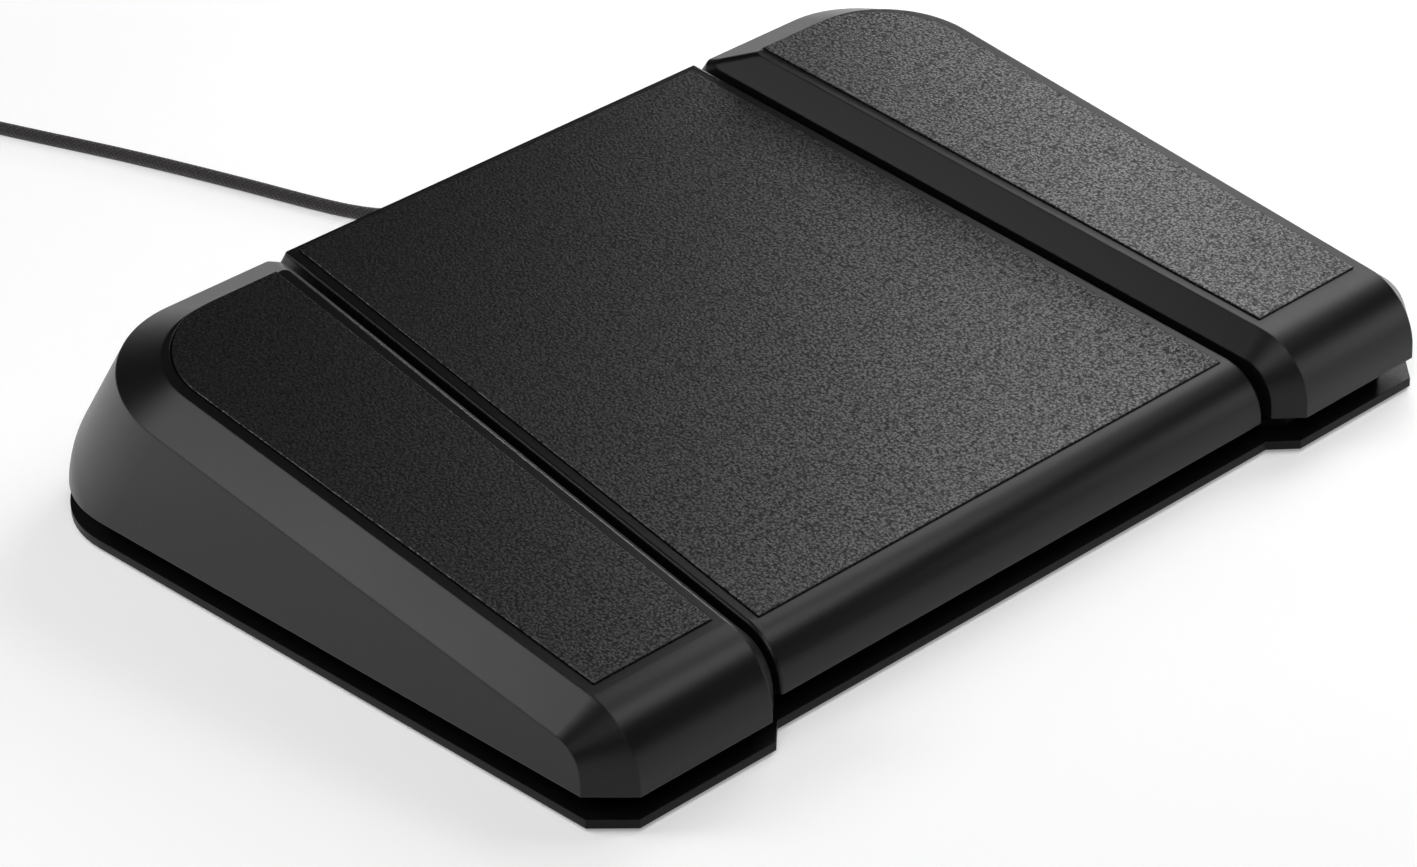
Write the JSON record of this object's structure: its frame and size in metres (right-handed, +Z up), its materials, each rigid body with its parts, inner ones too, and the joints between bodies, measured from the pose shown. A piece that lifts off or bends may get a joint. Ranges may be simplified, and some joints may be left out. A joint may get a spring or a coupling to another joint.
{
  "type": "usb foot pedal switch",
  "caption": "Foot switch with a wide flat middle pedal between two higher side pedals with textured pads, on a thin plate, with a braided cord to its plug.",
  "frame": {"origin": "middle of the base, on the floor under the rubber feet", "axes": "+X to the user's right, along the row of pedals; +Y away from the user, towards the high back edge and the cord; +Z up"},
  "size_m": [0.2527, 0.448, 0.0475],
  "materials": {
    "plate": "black powder coat, fine satin",
    "chassis": "black moulded plastic",
    "screws": "black oxide",
    "feet": "matt black rubber",
    "pins": "ground steel",
    "bumpers": "matt rubber",
    "board": "green solder mask",
    "board_screws": "zinc plated",
    "switches": "black moulded plastic",
    "chip": "black moulded resin",
    "header": "ivory moulded plastic",
    "springs": "drawn spring wire",
    "pedal_plastic": "black ABS, fine satin grain",
    "pad": "black soft pad with a leather-like grain",
    "stop_screws": "zinc plated",
    "plungers": "red moulded plastic",
    "relief": "black moulded flexible plastic",
    "cord": "black braided sleeve",
    "tie": "black strap",
    "plug": "black moulded plastic",
    "plug_metal": "nickel plated"
  },
  "bodies": {
    "base": {"bottom_plate": "plate", "chassis": "chassis", "plate_screws": "screws", "rubber_feet": "feet", "side_hinge_pins": "pins", "middle_hinge_pin": "pins", "bump_stops": "bumpers", "circuit_board": "board", "board_screws": "board_screws", "switch_bodies": "switches", "controller_chip": "chip", "cord_header": "header", "left_spring": "springs", "middle_spring": "springs", "right_spring": "springs", "strain_relief": "relief", "cord_tail": "cord", "cord_run": "cord", "cord_coil": "cord", "cord_end": "cord", "cord_tie": "tie", "plug_body": "plug", "plug_shell": "plug_metal"},
    "left_pedal": {"left_pedal_shell": "pedal_plastic", "left_pad": "pad", "left_stop_screw": "stop_screws"},
    "middle_pedal": {"middle_pedal_shell": "pedal_plastic", "middle_pad": "pad", "middle_stop_screw": "stop_screws"},
    "right_pedal": {"right_pedal_shell": "pedal_plastic", "right_pad": "pad", "right_stop_screw": "stop_screws"},
    "left_button": {"left_plunger": "plungers"},
    "middle_button": {"middle_plunger": "plungers"},
    "right_button": {"right_plunger": "plungers"}
  },
  "joints": [
    {"name": "left_press", "type": "hinge", "parent": "base", "child": "left_pedal", "pos_m": [-0.095, -0.0755, 0.0132], "axis": [-1, 0, 0], "range_deg": [0, 1.5], "stiffness_Nm_per_rad": 20.8, "springref_deg": -2.23, "deforming": ["left_spring"]},
    {"name": "middle_press", "type": "hinge", "parent": "base", "child": "middle_pedal", "pos_m": [0, -0.0755, 0.0132], "axis": [-1, 0, 0], "range_deg": [0, 1.5], "stiffness_Nm_per_rad": 20.8, "springref_deg": -2.23, "deforming": ["middle_spring"]},
    {"name": "right_press", "type": "hinge", "parent": "base", "child": "right_pedal", "pos_m": [0.095, -0.0755, 0.0132], "axis": [-1, 0, 0], "range_deg": [0, 1.5], "stiffness_Nm_per_rad": 20.8, "springref_deg": -2.23, "deforming": ["right_spring"]},
    {"name": "left_button_press", "type": "slide", "parent": "base", "child": "left_button", "axis": [0, 0, -1], "range_m": [0, 0.00116], "stiffness_N_per_m": 100},
    {"name": "middle_button_press", "type": "slide", "parent": "base", "child": "middle_button", "axis": [0, 0, -1], "range_m": [0, 0.00116], "stiffness_N_per_m": 100},
    {"name": "right_button_press", "type": "slide", "parent": "base", "child": "right_button", "axis": [0, 0, -1], "range_m": [0, 0.00116], "stiffness_N_per_m": 100}
  ],
  "couplings": [
    {"joint": "left_button_press", "follows": "left_press", "m_per_rad": 0.044},
    {"joint": "middle_button_press", "follows": "middle_press", "m_per_rad": 0.044},
    {"joint": "right_button_press", "follows": "right_press", "m_per_rad": 0.044}
  ]
}
